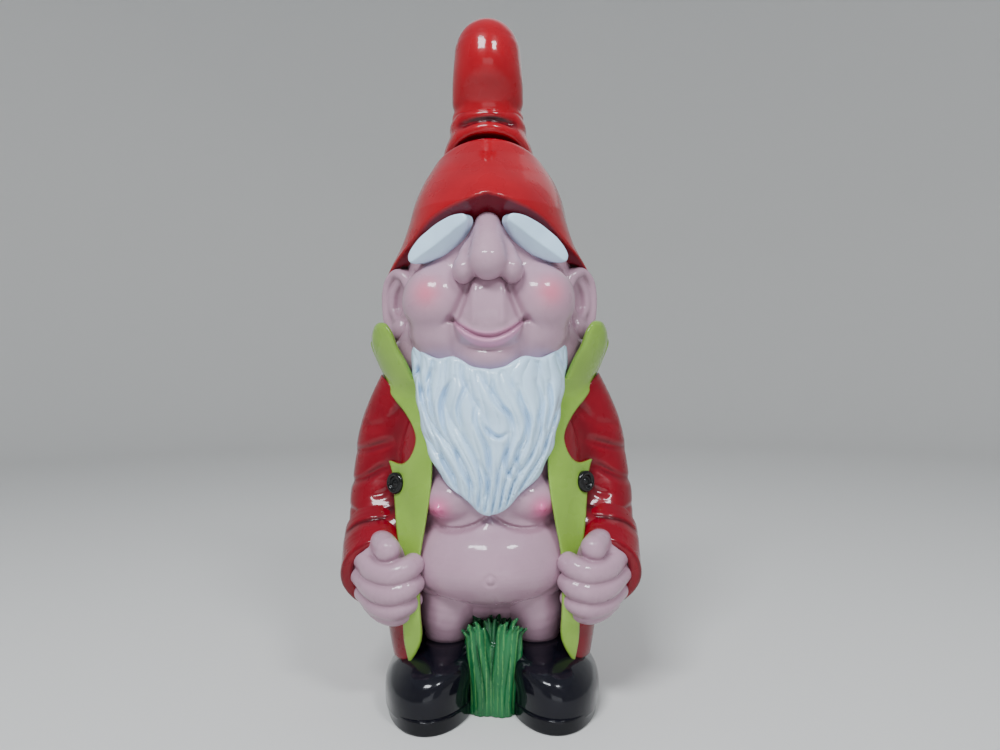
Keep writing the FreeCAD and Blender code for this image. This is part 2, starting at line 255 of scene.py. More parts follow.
def stack(p, rows, power=2.0, ends=2.0):
    """A body of level oval sections, given as rows of (z, half width, half depth, middle in Y)."""
    table = spline(rows, 6)
    x, y, z = p
    rx, ry, cy = (np.interp(z, table[:, 0], table[:, i]).astype(np.float32) for i in (1, 2, 3))
    slope = np.interp(z, table[:, 0], np.gradient(table[:, 1] + table[:, 2], table[:, 0]) / 2)
    qx, qy = np.abs(x) / rx, np.abs(y - cy) / ry
    if power == 2.0:
        near = np.sqrt(qx ** 2 + qy ** 2)
    else:
        near = (qx ** power + qy ** power) ** (1 / power)
    steep = np.sqrt((qx / rx) ** 2 + (qy / ry) ** 2) / np.maximum(np.sqrt(qx ** 2 + qy ** 2), 1e-6)
    side = (near - 1) / np.maximum(steep, 1e-6) / np.sqrt(1 + slope ** 2)
    caps = np.maximum(table[0, 0] - z, z - table[-1, 0])
    return smooth_max(side, caps, ends)


def cut_line(u, v, line):
    """Signed distance to a closed line in a plane: negative inside."""
    gap = np.full_like(u, 1e12)
    inside = np.zeros(u.shape, bool)
    for (au, av), (bu, bv) in zip(line, np.roll(line, -1, axis=0)):
        eu, ev = bu - au, bv - av
        wu, wv = u - au, v - av
        t = np.clip((wu * eu + wv * ev) / max(eu * eu + ev * ev, 1e-9), 0, 1)
        gap = np.minimum(gap, (wu - eu * t) ** 2 + (wv - ev * t) ** 2)
        crosses = ((av > v) != (bv > v))
        if abs(ev) > 1e-9:
            inside ^= crosses & (wu < eu * wv / ev)
    return np.where(inside, -1, 1) * np.sqrt(gap)


def near_line(u, v, points, per_span=4):
    """Distance to an open line in a plane, and the share of the line at the nearest place."""
    line = spline(points, per_span)
    gap = np.full_like(u, 1e12)
    share = np.zeros_like(u)
    for i, ((au, av), (bu, bv)) in enumerate(zip(line, line[1:])):
        eu, ev = bu - au, bv - av
        wu, wv = u - au, v - av
        t = np.clip((wu * eu + wv * ev) / (eu * eu + ev * ev), 0, 1)
        new = (wu - eu * t) ** 2 + (wv - ev * t) ** 2
        closer = new < gap
        gap = np.where(closer, new, gap)
        share = np.where(closer, (i + t) / (len(line) - 1), share)
    return np.sqrt(gap), share


def crease(u, v, points, width, depth):
    """How deep a carved line is at each point: full in its middle, fading at its ends."""
    gap, share = near_line(u, v, points)
    return depth * np.exp(-(gap / width) ** 2) * np.sin(math.pi * np.clip(share, 0.02, 0.98)) ** 0.6


def creases(u, v, rows):
    """The depth of several carved lines together, from rows of (points, width, depth)."""
    return sum(crease(u, v, *row) for row in rows)


# ==== meshing ====
def evaluate(field, points):
    """The field at many points, worked out in slices on several threads."""
    slices = np.array_split(np.arange(points.shape[1]), max(THREADS, points.shape[1] // 60000))
    with ThreadPoolExecutor(THREADS) as pool:
        parts = pool.map(lambda chosen: field(points[:, chosen]).astype(np.float32), slices)
    return np.concatenate(list(parts))


def mesh_of(field, low, high, step):
    """Vertices, quads and normals of the surface where the field is zero.

    The field is first read at the middle of each block of cells, and only blocks that the
    surface may cross are filled in.
    """
    low, high = np.array(low, np.float32), np.array(high, np.float32)
    blocks = np.ceil((high - low) / (step * BLOCK)).astype(int)
    middles = np.stack(np.meshgrid(*[(np.arange(n) + 0.5) * BLOCK * step for n in blocks],
                                   indexing="ij")).reshape(3, -1).astype(np.float32)
    coarse = evaluate(field, middles + low[:, None])
    reach = 0.5 * math.sqrt(3) * BLOCK * step * FIELD_SLACK + step
    active = np.flatnonzero(np.abs(coarse) < reach)
    offsets = np.stack(np.meshgrid(*[np.arange(BLOCK)] * 3, indexing="ij")).reshape(3, -1) * step
    corners = middles[:, active] - 0.5 * BLOCK * step + low[:, None]
    points = (corners[:, :, None] + offsets[:, None, :].astype(np.float32)).reshape(3, -1)
    values = evaluate(field, points.astype(np.float32)).reshape(len(active), BLOCK, BLOCK, BLOCK)
    grid = np.repeat(coarse[:, None], BLOCK ** 3, axis=1).reshape(-1, BLOCK, BLOCK, BLOCK)
    grid[active] = values
    grid = grid.reshape(*blocks, BLOCK, BLOCK, BLOCK).transpose(0, 3, 1, 4, 2, 5)
    grid = np.clip(grid.reshape(*(blocks * BLOCK)) / step, -BAND, BAND)
    for axis in range(3):
        for end in (0, -1):
            edge = [slice(None)] * 3
            edge[axis] = end
            grid[tuple(edge)] = np.maximum(grid[tuple(edge)], 0.5)
    volume = openvdb.FloatGrid()
    volume.background = BAND
    volume.copyFromArray(np.ascontiguousarray(grid, np.float32))
    places, quads = volume.convertToQuads(0.0)
    verts = (places.astype(np.float32) * step + low).T
    for _ in range(2):
        gap, slope = value_and_slope(field, verts, SLOPE_REACH * step)
        size = np.maximum(np.sqrt((slope ** 2).sum(0)), 0.2)
        verts = verts - slope / size * np.clip(gap / size, -0.5 * step, 0.5 * step)
    return verts, quads, slope / size


def value_and_slope(field, points, reach):
    """The field and its gradient."""
    shifts = np.concatenate([np.zeros((3, 1)), np.eye(3) * reach, -np.eye(3) * reach], axis=1)
    around = (points[:, None, :] + shifts.astype(np.float32)[:, :, None]).reshape(3, -1)
    values = evaluate(field, around).reshape(7, -1)
    return values[0], (values[1:4] - values[4:7]) / (2 * reach)


def hollowness(field, verts, normals, reach):
    """0 on flat and rounded places, up to 1 at the bottom of a crease of about this reach."""
    return np.clip(1 - evaluate(field, verts + normals * reach) / reach, 0, 1)


def sharpness(field, verts, normals, reach):
    """0 on flat and hollow places, up to 1 on an edge."""
    return np.clip(1 + evaluate(field, verts - normals * reach) / reach, 0, 1)


def add_piece(name, verts, quads, normals, values, material, node):
    """A mesh object from the sculptor's arrays, with its paint masks, riding on the root."""
    mesh = bpy.data.meshes.new(name)
    mesh.from_pydata((verts.T * MM).tolist(), [], quads.tolist())
    mesh.update()
    mesh.shade_smooth()
    mesh.normals_split_custom_set_from_vertices(normals.T.tolist())
    for key, array in values.items():
        layer = mesh.attributes.new(key, "FLOAT", "POINT")
        layer.data.foreach_set("value", np.ascontiguousarray(array, np.float32))
    mesh.materials.append(material)
    piece = bpy.data.objects.new(name, mesh)
    bpy.context.scene.collection.objects.link(piece)
    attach(piece, "root")
    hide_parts(node)


def cast(name, field, material, node, step=1.0, margin=10.0, masks=None, paired=False):
    """Sculpts one casting round its CAD node, and its mirror image too if it is paired."""
    low, high = (np.array(corner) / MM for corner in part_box(node + "_left" if paired else node))
    verts, quads, normals = mesh_of(field, low - margin, high + margin, step * COARSE)
    # Masks for painted shade, deeper in creases, and for a painted highlight on sharp edges.
    hollows = [share * hollowness(field, verts, normals, reach) for reach, share in CREASE_SHADE_REACHES]
    values = {"crease_shade": np.max(hollows, axis=0),
              "edge": sharpness(field, verts, normals, EDGE_REACH)}
    for key, mask in (masks or {}).items():
        values[key] = mask(verts)
    if not paired:
        add_piece(name, verts, quads, normals, values, material, node)
        return
    flip = np.array([[-1], [1], [1]], np.float32)
    add_piece(name + "_left", verts, quads, normals, values, material, node + "_left")
    add_piece(name + "_right", verts * flip, quads[:, ::-1], normals * flip, values, material,
              node + "_right")


# ==== enamel and steel ====
def add_noise(nodes, links, scale, detail=2.0, stretch=(1, 1, 1)):
    """Noise that is fixed to the object. A small stretch draws it out along that axis."""
    place = nodes.new("ShaderNodeTexCoord")
    mapping = nodes.new("ShaderNodeMapping")
    mapping.inputs["Scale"].default_value = stretch
    texture = nodes.new("ShaderNodeTexNoise")
    texture.inputs["Scale"].default_value = scale
    texture.inputs["Detail"].default_value = detail
    links.new(place.outputs["Object"], mapping.inputs["Vector"])
    links.new(mapping.outputs["Vector"], texture.inputs["Vector"])
    return texture.outputs["Fac"]


def enamel(name, colour, crease_shade_colour, accents=(), crease_shade=1.0, drift=0.12, edge_highlight=0.25, brush=0.5,
           roughness=(0.24, 0.36), coat=0.75):
    """Hand-painted enamel under a clear coat.

    The colour drifts a little from place to place, turns darker in the creases as painted shade,
    and is lighter on the edges as a painted highlight. Accents are pairs of a paint mask and its colour.
    """
    material, nodes, links, shader = new_material(name)
    noise = partial(add_noise, nodes, links)

    def spread(source, low, high, to_low=0.0, to_high=1.0):
        ramp = nodes.new("ShaderNodeMapRange")
        ramp.interpolation_type = "SMOOTHSTEP"
        for key, value in zip(("From Min", "From Max", "To Min", "To Max"),
                              (low, high, to_low, to_high)):
            ramp.inputs[key].default_value = value
        links.new(source, ramp.inputs["Value"])
        return ramp.outputs["Result"]

    def mask(key):
        attribute = nodes.new("ShaderNodeAttribute")
        attribute.attribute_name = key
        return attribute.outputs["Fac"]

    def mix(under, over, amount):
        node = nodes.new("ShaderNodeMix")
        node.data_type = "RGBA"
        for source, key in ((under, "A"), (over, "B")):
            socket = next(s for s in node.inputs if s.name == key and s.type == "RGBA")
            if isinstance(source, tuple):
                socket.default_value = (*source, 1)
            else:
                links.new(source, socket)
        links.new(amount, node.inputs["Factor"])
        return next(s for s in node.outputs if s.type == "RGBA")

    def shade(rgb, factor):
        return tuple(min(channel * factor, 1) for channel in rgb)

    paint = mix(shade(colour, 1 - drift), shade(colour, 1 + drift), spread(noise(38, 3), 0.3, 0.7))
    streak = noise(240, 2, (1, 1, 0.18))
    paint = mix(paint, shade(colour, 1 - 1.5 * drift), spread(streak, 0.52, 0.75, 0, 0.35 * brush))
    for key, tint in accents:
        paint = mix(paint, tint, mask(key))
    # Painted highlight: the colour lightens on sharp edges.
    paint = mix(paint, shade(colour, 1.35), spread(mask("edge"), 0.45, 0.9, 0, edge_highlight))
    # Painted shade: the colour darkens in creases and hollows.
    paint = mix(paint, crease_shade_colour, spread(mask("crease_shade"), 0.05, 0.6, 0, crease_shade))
    links.new(paint, shader.inputs["Base Color"])
    links.new(spread(noise(70, 3), 0.3, 0.7, *roughness), shader.inputs["Roughness"])
    peel = nodes.new("ShaderNodeBump")
    peel.inputs["Strength"].default_value = 0.12
    peel.inputs["Distance"].default_value = 0.0004
    links.new(noise(420, 2), peel.inputs["Height"])
    strokes = nodes.new("ShaderNodeBump")
    strokes.inputs["Strength"].default_value = 0.2 * brush
    strokes.inputs["Distance"].default_value = 0.0004
    links.new(streak, strokes.inputs["Height"])
    links.new(peel.outputs["Normal"], strokes.inputs["Normal"])
    links.new(strokes.outputs["Normal"], shader.inputs["Normal"])
    links.new(peel.outputs["Normal"], shader.inputs["Coat Normal"])
    shader.inputs["Specular IOR Level"].default_value = 0.12
    shader.inputs["Coat Weight"].default_value = coat
    shader.inputs["Coat Roughness"].default_value = 0.05
    shader.inputs["Coat IOR"].default_value = 1.42
    return material


def brushed_steel(name):
    """Plain round bar: fine scratches along its length."""
    material, nodes, links, shader = new_material(name)
    ramp = nodes.new("ShaderNodeValToRGB")
    ramp.color_ramp.elements[0].color = (0.35, 0.35, 0.36, 1)
    ramp.color_ramp.elements[1].color = (0.68, 0.68, 0.70, 1)
    links.new(add_noise(nodes, links, 900, stretch=(1, 1, 0.03)), ramp.inputs["Fac"])
    links.new(ramp.outputs["Color"], shader.inputs["Base Color"])
    shader.inputs["Metallic"].default_value = 1.0
    shader.inputs["Roughness"].default_value = 0.35
    return material


# ==== shapes that several castings share ====
COAT = [(24, 57, 44, 8), (45, 60, 48, 7), (62, 60.5, 52, 5), (80, 60, 54, 2), (104, 58, 52, 2),
        (130, 57, 48, 2), (150, 56, 45, 3), (168, 52, 40, 4), (182, 46, 36, 6), (194, 40, 32, 7)]
TORSO = [(54, 30, 26, 1), (60, 41, 38, -1), (67, 48, 47, -4), (79, 51.5, 51.5, -6),
         (94, 50, 48.5, -4.5), (106, 46, 42.5, -2), (120, 45, 41, -2), (134, 47, 40, -1),
         (150, 50, 39, 2), (168, 48, 36, 4), (184, 30, 28, 4)]
HEAD = [(172, 24, 25, 2), (184, 30, 29, -1), (192, 38, 34, -4), (201, 44, 40, -4), (211, 47, 45, -2),
        (226, 50, 49, 0), (241, 50.5, 50, 2), (256, 49, 50, 3), (270, 45, 47, 3), (284, 34, 37, 5),
        (294, 18, 20, 6)]
NAPE = [(176, 38, 31, 2), (188, 50, 38, 0), (200, 56.5, 43, 0.5), (212, 55.5, 43, 2.5), (226, 47, 38, 8)]
MUZZLE = [(198, 12, 9, -36), (205, 18, 15, -37), (212, 20, 18, -37.5), (220, 18, 19.5, -37.5),
          (229, 14.5, 19, -37.5), (237, 11.5, 17.5, -37), (246, 8, 13, -36)]
BEARD_FRONT = [(98, 34, 28, -16), (112, 37, 36, -14), (126, 41, 41, -13), (146, 45, 45, -12),
               (166, 47, 46.5, -11), (180, 48, 46.5, -9.5), (190, 49, 47.5, -7), (198, 50, 47, -6),
               (208, 50, 45.5, -5), (218, 48.5, 41, -4)]
BEARD = [(-8, 112.5), (0, 113), (6, 115), (15, 123), (25.5, 132.5), (33, 145), (37, 158), (40, 172),
         (42.5, 186), (44.2, 198), (43.2, 208.5), (40.5, 203), (35, 199), (28, 196.3), (20, 197.3),
         (15, 195.2), (9, 191.5), (0, 190), (-8, 190)]
SLEEVE = [(51, 4, 184, 16), (57, 7, 170, 17.5), (63, 9, 150, 18.5), (66.5, 7, 126, 18.5),
          (67, -2, 105, 18.5), (65.5, -11, 93, 19.5)]
COLLAR = [(160, 52, 41, 4), (170, 55.5, 41.5, 4), (179, 60, 42.5, 4), (188, 65, 45, 5),
          (198, 69.5, 49, 5), (208, 73, 52, 5), (224, 75, 55, 4)]
LAPEL = [(46, 26.5), (38.5, 42), (38.5, 60), (39, 85), (35.5, 107), (33, 123), (32, 138),
         (33.5, 155), (37, 170), (42.5, 186), (47.5, 197), (66, 197), (64.5, 186), (58, 176),
         (47.8, 164), (42.8, 155), (42.8, 148), (46.5, 140.5), (52, 137), (60, 138.5), (57.5, 131),
         (56, 119), (53, 99), (50, 80), (48.5, 60), (48.5, 42)]
LOBE = [(38, 180), (43, 187), (47.5, 197), (52, 205), (55, 213), (60, 219), (67, 218.5),
        (72, 210), (70.5, 198), (65.5, 186), (60, 177), (48, 172)]
OPENING = [(-6, 10), (46.5, 10), (45.5, 28), (39.5, 42), (39.5, 60), (40, 85), (36.5, 107),
           (34, 123), (33, 138), (34.5, 155), (38.5, 170), (44, 190), (44, 230), (-6, 230)]


def outline(points, corners=()):
    """A closed line that is smooth except at its corners, given by their place in the list."""
    stops = sorted(set(corners) | {0})
    runs = []
    for here, there in zip(stops, stops[1:] + [len(points)]):
        run = (points + points[:1])[here:there + 1]
        runs.append(spline(run, 4 if len(run) > 2 else 1)[:-1])
    return np.vstack(runs)


def coat_body(p):
    """The outside of the closed coat, with soft vertical folds that deepen towards the hem.

    The fists pull the front panels forwards, so the section is squarer there.
    """
    x, y, z = p
    turn = np.arctan2(x, y - 4)
    low = fade(z, 150, 40)
    folds = low * (0.9 * np.cos(7 * turn) + 0.5 * np.cos(11 * turn + 1.0)) * fade(y, -20, 15)
    pulled = fade(z, 85, 50) * fade(y, 6, -10)
    body = (1 - pulled) * stack(p, COAT) + pulled * stack(p, COAT, power=6)
    return body - folds


SLEEVE_FOLDS = [
    ([(56, 150), (64, 147.5), (74, 144.5), (84, 142)], 2.6, 2.2),
    ([(58, 136), (66, 132.5), (76, 127), (87, 123)], 2.4, 2.0),
    ([(47, 172), (54, 168), (60, 161)], 2.6, 1.4),
    ([(53, 112), (62, 108.5), (74, 107.5), (86, 110)], 1.9, 1.8),
    ([(62, 160), (70, 158), (78, 158)], 3.0, 1.0),
    ([(58, 122), (64, 119), (70, 118)], 2.2, 1.0),
]
ELBOW_FOLDS = [
    ([(54, 142), (64, 138), (76, 137), (86, 140)], 3.0, 2.2),
    ([(54, 128), (64, 127), (76, 126), (86, 124)], 2.6, 2.0),
    ([(54, 116), (64, 117), (76, 115), (86, 112)], 2.4, 1.8),
    ([(56, 158), (66, 156), (78, 154)], 3.4, 1.4),
]


def sleeve_body(p):
    """One arm of the coat with the folds that a bent elbow throws."""
    q = mirror_x(p)
    x, y, z = q
    arm = tube(q, SLEEVE)
    front, back = fade(y, 12, 2), fade(y, 2, 12)
    arm = arm + creases(x, z, SLEEVE_FOLDS) * front + creases(x, z, ELBOW_FOLDS) * back
    return arm + 0.5 * ripple(p, 16, 3)


def collar_body(p):
    """The outside of the collar's bell."""
    return stack(mirror_x(p), COLLAR)


def clothed(p):
    """Coat and arm as one red surface, with a soft hollow between them."""
    return join(15, coat_body(p), sleeve_body(p))


def facing(p):
    """The surface that the lapels and the collar share, 3 mm over the cloth."""
    high = np.maximum(fade(p[2], 168, 188), fade(p[1], -2, 8))
    return (1 - high) * (clothed(p) - 3.0) + high * collar_body(p)


def face_body(p):
    """Skull, neck, cheeks, jowls, muzzle and chin, before the lips are carved."""
    q = mirror_x(p)
    x, z = q[0], q[2]
    skull = join(8, stack(q, HEAD), stack(q, NAPE))
    cheek = ellipsoid(q, (28.5, -32.5, 229.5), (20, 20.5, 21))
    jowl = ellipsoid(q, (25, -27, 212.5), (19.8, 19.5, 16.5))
    sides = join(4, join(6, skull, cheek), jowl)
    muzzle = stack(q, MUZZLE, power=2.5, ends=6)
    ridge = hill(x, 7.6 + 0.02 * (237 - z), 2.2) * fade(z, 212, 217) * fade(z, 242, 236)
    muzzle = muzzle - 1.0 * ridge + 0.5 * hill(x, 0, 4) * fade(z, 212, 218)
    chin = ellipsoid(q, (0, -37.5, 199.5), (18, 14, 12.5))
    return join(2.2, sides, join(3.0, muzzle, chin))


MOUTH_HEIGHT, SMILE_RISE, SMILE_HALF, LIP_HALF = 208.6, 9.6, 19.5, 19.0
FACE_CREASES = [
    ([(19.5, 218.6), (22.5, 217.6), (26, 215)], 1.2, 0.8),
    ([(20, 214), (19.5, 207), (18.5, 199), (16, 192)], 2.6, 0.5),
    ([(10.5, 240), (12.5, 234), (16, 226), (19.3, 219.5)], 2.0, 0.7),
]


def lips(p):
    """How far a point is above the mouth line, and the share of the lips' full thickness."""
    x, z = np.abs(p[0]), p[2]
    line = MOUTH_HEIGHT + SMILE_RISE * (x / SMILE_HALF) ** 2
    steep = np.sqrt(1 + (2 * SMILE_RISE * x / SMILE_HALF ** 2) ** 2)
    return (z - line) / steep, np.sqrt(np.clip(1 - (x / LIP_HALF) ** 2, 0, 1))


def head_field(p):
    """The face, with its lips, the line between them, dimples and laughter lines."""
    q = mirror_x(p)
    x, y, z = q
    above, full = lips(p)
    front = fade(y, -20, -32)
    face = face_body(p)
    face = face - 2.7 * hill(above, -2.9 * full, 2.3) * full * front
    face = face - 1.0 * hill(above, 1.8, 1.6) * full * front
    face = face + 1.5 * hill(above, 0, 0.8) * fade(x, 21, 19) * front
    face = face + 1.7 * hill(np.hypot(x - 20.3, z - 218.4), 0, 2.0) * front
    face = face + 0.9 * hill(above, -6.6, 1.8) * full * front
    face = face + creases(x, z, FACE_CREASES) * front
    return face + 0.15 * ripple(p, 14, 5)


def lip_mask(verts):
    """The paint on the two lips."""
    above, full = lips(verts)
    upper = fade(above, 3.2 * full, 3.2 * full - 0.9) * fade(above, -0.5, 0)
    lower = fade(above, -6.0 * full, -6.0 * full + 0.9) * fade(above, 0.5, 0)
    return np.clip(upper + lower, 0, 1) * fade(np.abs(verts[0]), 20, 18.5) * fade(verts[1], -25, -35)


def blush_mask(verts):
    """A round flush on each cheek."""
    x, y, z = np.abs(verts[0]), verts[1], verts[2]
    return 0.7 * np.exp(-((x - 33.5) ** 2 + (z - 233) ** 2) / 7.5 ** 2) * fade(y, -10, -30)


def torso_body(p):
    """Chest, belly and hips."""
    q = mirror_x(p)
    trunk = stack(q, TORSO)
    mound = ellipsoid(q, (19, -23.5, 119), (21.5, 23, 16))
    trunk = join(2.5, trunk, mound)
    loin = ellipsoid(q, (6, -14, 60), (22, 17, 17))
    return join(2.0, trunk, loin)


TORSO_CREASES = [
    ([(0, 59.5), (15, 61), (28, 65), (40, 72)], 2.0, 1.4),
    ([(-4, 112), (0, 111), (4, 108), (10, 104.8), (18, 103), (26, 103), (34, 106)], 1.6, 2.4),
]


def torso_field(p):
    """The trunk with its breastbone line, the creases under chest and belly, nipples and navel."""
    q = mirror_x(p)
    x, y, z = q
    skin = torso_body(p)
    front = fade(y, -10, -25)
    skin = skin + 1.0 * hill(x, 0, 2.0) * fade(z, 108, 114) * fade(z, 140, 125) * front
    skin = skin + creases(x, z, TORSO_CREASES) * front
    nipple = np.hypot(x - 29, z - 114.5)
    skin = skin - (2.4 * hill(nipple, 0, 2.5) + 0.6 * hill(nipple, 0, 5)) * front
    navel = np.hypot(p[0], z - 78.5)
    skin = skin + (0.5 * hill(navel, 2.7, 1.0) - 0.8 * hill(navel, 0, 1.5)) * front
    return skin + 0.12 * ripple(p, 15, 6)


def rose_mask(verts):
    """The paint round each nipple."""
    x, y, z = np.abs(verts[0]), verts[1], verts[2]
    return 0.95 * hill(np.hypot(x - 28.5, z - 114.5), 0, 6.2) * fade(y, -10, -30)


# ==== hat ====
CROWN = [(198, 60, 57, 8), (212, 63, 58, 7.8), (227, 65.5, 58, 7), (240, 65, 57.5, 6),
         (254, 58.8, 56, 5), (265, 52.8, 54, 3.5), (277, 48, 51.5, 1.5), (290, 44.5, 47, 1),
         (302, 39.5, 41, 1), (314, 32.5, 34.5, 2), (326, 26.5, 28, 3)]
VISOR = [(262, 4.0), (272, 8.5), (282, 9.5), (290, 7.0), (302, 3.2), (314, 1.0), (326, 0.0)]
FACE_EDGE = [(-90, 286), (-62, 285), (-52, 279.5), (-38, 270), (-22, 259.5), (-8, 250), (1, 240),
             (6.5, 227), (10.5, 215), (11.5, 204), (11.5, 150), (-90, 150)]
FACE_EDGE_CORNERS = (9, 10, 11)
CROWN_CREASES = [
    ([(-50, 240), (-42, 262), (-34, 284), (-30, 300)], 4, 1.2),
    ([(56, 226), (50, 250), (42, 272)], 4, 1.0),
]


def crown_body(p):
    """The closed outside of the hood: a bell with a keel that runs out into a peak in front."""
    x, y, z = p
    radius = np.maximum(np.hypot(x, y - 4), 1e-3)
    front = np.clip(-(y - 4) / radius, 0, 1)
    table = np.array(VISOR)
    flare = np.interp(z, table[:, 0], table[:, 1])
    keel = 2.2 * hill(x, 0, 10) * fade(z, 322, 300) * fade(y, 0, -20)
    return stack(p, CROWN) - (flare * front ** 2.5 + keel) * 0.85


def peak(x):
    """How far the brim drops beside its pointed middle."""
    return 2.2 * (1 - np.exp(-np.abs(x) / 6)) - 1.2


def face_edge(y, z):
    """Distance, seen from the side, to the edge of the hood's opening: negative in the opening."""
    return cut_line(y, z, outline(FACE_EDGE, FACE_EDGE_CORNERS))


def hat_crown_field(p):
    """The hood: hollow round the skull, open at the face, and wavy along its lower rim."""
    x, y, z = p
    crown = crown_body(p)
    arch = z - (324 - 0.0085 * x ** 2)
    edge = face_edge(y, z + peak(x))
    sag = 0.7 * ripple(p, 24, 11)
    pulls = creases(x, z, CROWN_CREASES) * fade(y, 20, 35)
    body = smooth_max(crown + sag + pulls, -edge, 1.0)
    body = smooth_max(body, arch, 2.6)
    room = smooth_max(crown + 4.2, z - 253, 3.0)
    body = smooth_max(body, -room, 1.0)
    body = smooth_max(body, 205 - z + 1.5 * np.cos(x / 14), 2.0)
    return smooth_max(body, -(face_body(p) + 1.5), 1.0)


def brim_shade_mask(verts):
    """The underside of the brim, painted a darker red as shade."""
    edge = face_edge(verts[1], verts[2] + peak(verts[0]))
    return fade(edge, 1.2, 0.5) * fade(crown_body(verts), -0.6, -1.8)


FOLD = [(306, 36.5, 36, 4), (314, 31.6, 30.5, 6.5), (321, 27.4, 26, 6.4), (328, 24.2, 23.4, 5.2),
        (336, 21.6, 21, 4), (343, 20.0, 20.5, 3)]


def hat_fold_field(p):
    """The neck of the hat, with a roll that arches over its front and sinks at its sides."""
    x, y, z = p
    neck = stack(p, FOLD)
    sink = 0.011 * x ** 2 + 0.05 * np.maximum(y, 0)
    radius = np.hypot(x, (y - 4) / 1.04)
    band = np.hypot((radius - 17.2) / 1.15, z + 0.45 * sink - 340.4) - 4.1
    roll = np.hypot(radius - 20.4, z + sink - 331.6) - 4.3
    hollow = 3.2 * hill(z + sink, 325.0, 2.6) * fade(y, -4, -16)
    whole = join(1.0 + 5.0 * fade(np.abs(x), 10, 19), neck + hollow, band, roll)
    return whole + 0.25 * ripple(p, 9, 12)


TIP = [(336, 20.5, 20.5, 3), (342, 21.6, 20.5, 3.5), (348, 21.4, 20.5, 2.5), (354, 21.4, 22, 0.5),
       (361, 21.2, 24.2, -2.2), (369, 20.6, 24.6, -4.2), (377, 19.6, 22.8, -5.4), (383, 18.2, 20.4, -5.8)]


def hat_tip_field(p):
    """The round end of the hat: it nods forwards over the fold that it grows from."""
    x, y, z = p
    thumb = join(2.0, stack(p, TIP), ellipsoid(p, (0, -5.8, 379.8), (18.9, 21.2, 19.5)))
    foot = 341 - 0.012 * x ** 2 + 0.8 * hill(y, -20, 12)
    thumb = smooth_max(thumb, foot - z, 2.2)
    side = crease(y, z, [(22, 352), (8, 350), (-6, 347), (-16, 349)], 2.4, 1.0) * fade(np.abs(x), 10, 16)
    return thumb + side + 0.3 * ripple(p, 20, 13)


# ==== face pieces ====
def nose_field(p):
    q = mirror_x(p)
    ball = tube(q, [(0, -44, 270, 7.4), (0, -48.5, 263.5, 8.4), (0, -53, 256, 9.5),
                    (0, -55.8, 249, 10.4)])
    wing = ellipsoid(q, (12.8, -50, 244.6), (6.2, 8.5, 7.4), (0, -6, 0))
    shoulder = tube(q, [(12.6, -48, 246, 6.2), (9.5, -47.5, 254, 6.0), (5, -46, 262, 5.4)])
    whole = join(3.6, join(3.0, wing, shoulder), ball)
    nostril = ellipsoid(q, (7.6, -52.5, 237.2), (2.2, 3.2, 1.8))
    whole = smooth_max(whole, -nostril, 1.5)
    return smooth_max(whole, -(face_body(p) + 2.5), 1.0)


def brow_field(p):
    """A faceted lens: a broad upper facet and a narrow lower one meet in a ridge."""
    turn = np.array(Euler((math.radians(8), math.radians(31), math.radians(24))).to_matrix())
    s, w, t = turn.T.astype(np.float32) @ from_middle(p, "eyebrow_left", (0.4, 1.6, 0.8))
    w = -w - s ** 2 / 150
    lens = (np.abs(t) - 7.6 * np.clip(1 - (s / 21.8) ** 2, 0.0, 1) ** 0.62) * 0.8
    ends = np.abs(s) - 21.0
    droop = 2.4 * (s / 21) ** 4
    upper = w - 4.8 + 0.10 * (t + 1.6) + droop
    lower = w - 4.8 - 0.95 * (t + 1.6) + droop
    top = smooth_max(upper, lower * 0.8, 0.6)
    side = smooth_max(lens, ends, 2.0)
    return smooth_max(smooth_max(side, top, 1.4), -w - 7, 1.0) + 0.1 * ripple(p, 6, 21)


def ear_field(p):
    """A cupped shell with a rolled helix, an inner ridge and a lobe, its back under the hood."""
    turn = math.radians(48)
    x, y, z = from_middle(p, "ear_left", (-3.0, -4.0, -1))
    u = x * math.cos(turn) + y * math.sin(turn)
    w = x * math.sin(turn) - y * math.cos(turn)
    q = np.stack([u + 0.1 * z, w, z])
    shell = ellipsoid(q, (0, -1.5, -0.5), (11.5, 6.0, 20.0), (0, -8, 0))
    hollow = ellipsoid(q, (-1.0, 5.4, 1), (7.6, 6.0, 14), (0, -8, 0))
    helix = tube(q, [(-8, 0.4, 9, 2.4), (-4, 1.6, 14.5, 2.8), (3, 2.6, 16.8, 3.2), (9.2, 2.8, 10.5, 3.3),
                     (10.4, 2.6, -1, 3.1), (7.6, 2.4, -11.5, 3.2), (2, 2, -18, 3.8)])
    lobe = ellipsoid(q, (-2.5, 1.0, -17), (6.2, 4.6, 6.4))
    ridge = tube(q, [(0, 0.8, 12, 1.5), (4.6, 1.6, 5, 2.2), (4.4, 1.8, -4, 2.3), (0, 1.8, -10, 2.4)])
    ear = smooth_max(shell, -hollow, 2.0)
    ear = join(2.4, ear, helix, lobe, ridge)
    hood = smooth_min(crown_body(p) + 3.6, face_edge(p[1], p[2]) + 0.8, 1.0)
    ear = smooth_max(ear, hood, 1.0)
    return smooth_max(ear, -(face_body(p) + 2.5), 1.0)


